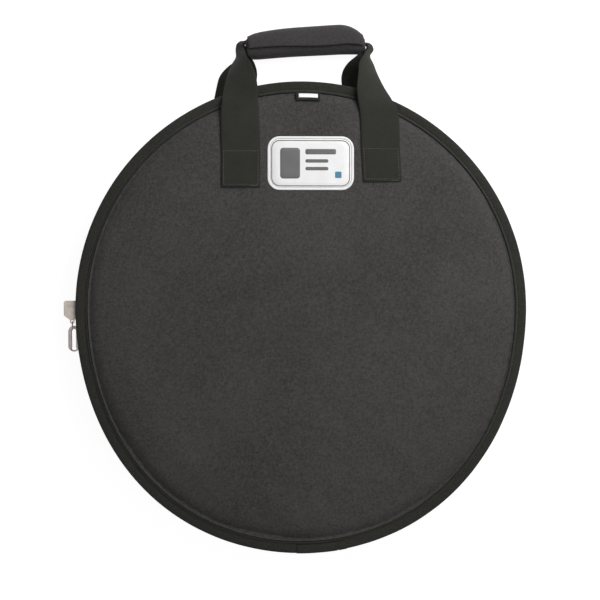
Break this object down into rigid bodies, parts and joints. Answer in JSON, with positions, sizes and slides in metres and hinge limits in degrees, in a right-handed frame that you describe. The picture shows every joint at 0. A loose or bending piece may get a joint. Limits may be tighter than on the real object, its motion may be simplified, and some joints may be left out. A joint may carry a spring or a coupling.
{
  "type": "cymbal bag",
  "caption": "Round padded cymbal bag with a zip round its wall, bound seams and two webbing handles joined by a wrap-round grip.",
  "frame": {"origin": "centre of the outline's upper arc, on the back panel's flat outer face", "axes": "the bag lies on its back: +Z out of the front panel, +Y to the handle, +X to the right as the front panel is looked at"},
  "size_m": [0.6034, 0.6947, 0.0642],
  "materials": {
    "panel_fabric": "fine woven nylon, slight sheen",
    "wall_fabric": "fine woven nylon",
    "lining": "smooth lining cloth",
    "foam": "soft closed-cell foam",
    "binding_tape": "ribbed tape with a stitch line",
    "zip_tape": "woven tape",
    "zip_coil": "satin nylon",
    "zip_metal": "worn satin nickel",
    "divider_felt": "felt",
    "webbing": "ribbed polypropylene webbing",
    "grip_fabric": "woven nylon",
    "hook_and_loop": "pile",
    "badge": "satin print on plastic",
    "label_tag": "woven label"
  },
  "bodies": {
    "back_and_wall": {"back_skin": "panel_fabric", "back_foam": "foam", "back_lining": "lining", "rear_binding": "binding_tape", "gusset_skin": "wall_fabric", "gusset_lining": "lining", "rear_zip_strip": "wall_fabric", "zip_tape_rear": "zip_tape", "zip_coil_rear": "zip_coil", "zip_tape_front_end_left": "zip_tape", "zip_tape_front_end_right": "zip_tape", "zip_coil_front_end_left": "zip_coil", "zip_coil_front_end_right": "zip_coil", "front_strip_end_left": "wall_fabric", "front_strip_end_right": "wall_fabric", "front_skin_lower": "panel_fabric", "front_foam_lower": "foam", "front_lining_lower": "lining", "front_binding_lower": "binding_tape", "zip_end_tab_left": "wall_fabric", "zip_end_tab_right": "wall_fabric", "zip_stop_closed": "zip_metal", "zip_stop_open": "zip_metal", "divider_1": "divider_felt", "divider_2": "divider_felt", "rear_strap_anchor_left": "webbing", "rear_strap_anchor_right": "webbing"},
    "cover": {"front_skin_upper": "panel_fabric", "front_foam_upper": "foam", "front_lining_upper": "lining", "front_binding_upper": "binding_tape", "front_zip_strip": "wall_fabric", "zip_tape_front": "zip_tape", "zip_coil_front": "zip_coil", "front_strap_anchor_left": "webbing", "front_strap_anchor_right": "webbing", "badge": "badge", "label_tag": "label_tag"},
    "front_handle": {"front_handle_strap": "webbing", "grip_shell": "grip_fabric", "grip_foam": "foam", "grip_hook_strip": "hook_and_loop"},
    "grip_flap": {"grip_flap": "grip_fabric", "grip_loop_strip": "hook_and_loop"},
    "rear_handle": {"rear_handle_strap": "webbing"},
    "slider": {"slider_body": "zip_metal", "slider_cap": "zip_metal"},
    "puller_link": {"puller_link": "zip_metal"},
    "puller": {"puller_loop": "zip_metal"}
  },
  "joints": [
    {"name": "cover_fold", "type": "hinge", "parent": "back_and_wall", "child": "cover", "pos_m": [0, 0.022, 0.062], "axis": [1, 0, 0], "range_deg": [0, 120]},
    {"name": "front_handle_swing", "type": "hinge", "parent": "cover", "child": "front_handle", "pos_m": [0, 0.2975, 0.031], "axis": [1, 0, 0], "range_deg": [-80, 110], "deforming": ["front_handle_strap"]},
    {"name": "rear_handle_swing", "type": "hinge", "parent": "back_and_wall", "child": "rear_handle", "pos_m": [0, 0.2975, 0.031], "axis": [1, 0, 0], "range_deg": [-80, 110], "deforming": ["rear_handle_strap"]},
    {"name": "grip_flap_open", "type": "hinge", "parent": "front_handle", "child": "grip_flap", "pos_m": [0.00485, 0.36886, 0.0168], "axis": [-0.9981, -0.061, 0], "range_deg": [0, 120]},
    {"name": "zip_run", "type": "hinge", "parent": "back_and_wall", "child": "slider", "pos_m": [0, 0, 0.031], "axis": [0, 0, -1], "range_deg": [0, 180]},
    {"name": "puller_link_swing", "type": "hinge", "parent": "slider", "child": "puller_link", "pos_m": [-0.3004, -0.0178, 0.031], "axis": [0, 0, -1], "range_deg": [0, 90]},
    {"name": "puller_swing", "type": "hinge", "parent": "puller_link", "child": "puller", "pos_m": [-0.3002, -0.0287, 0.031], "axis": [0, 0, -1], "range_deg": [0, 45]}
  ],
  "couplings": [
    {"joint": "rear_handle_swing", "follows": "front_handle_swing", "ratio": 1}
  ]
}
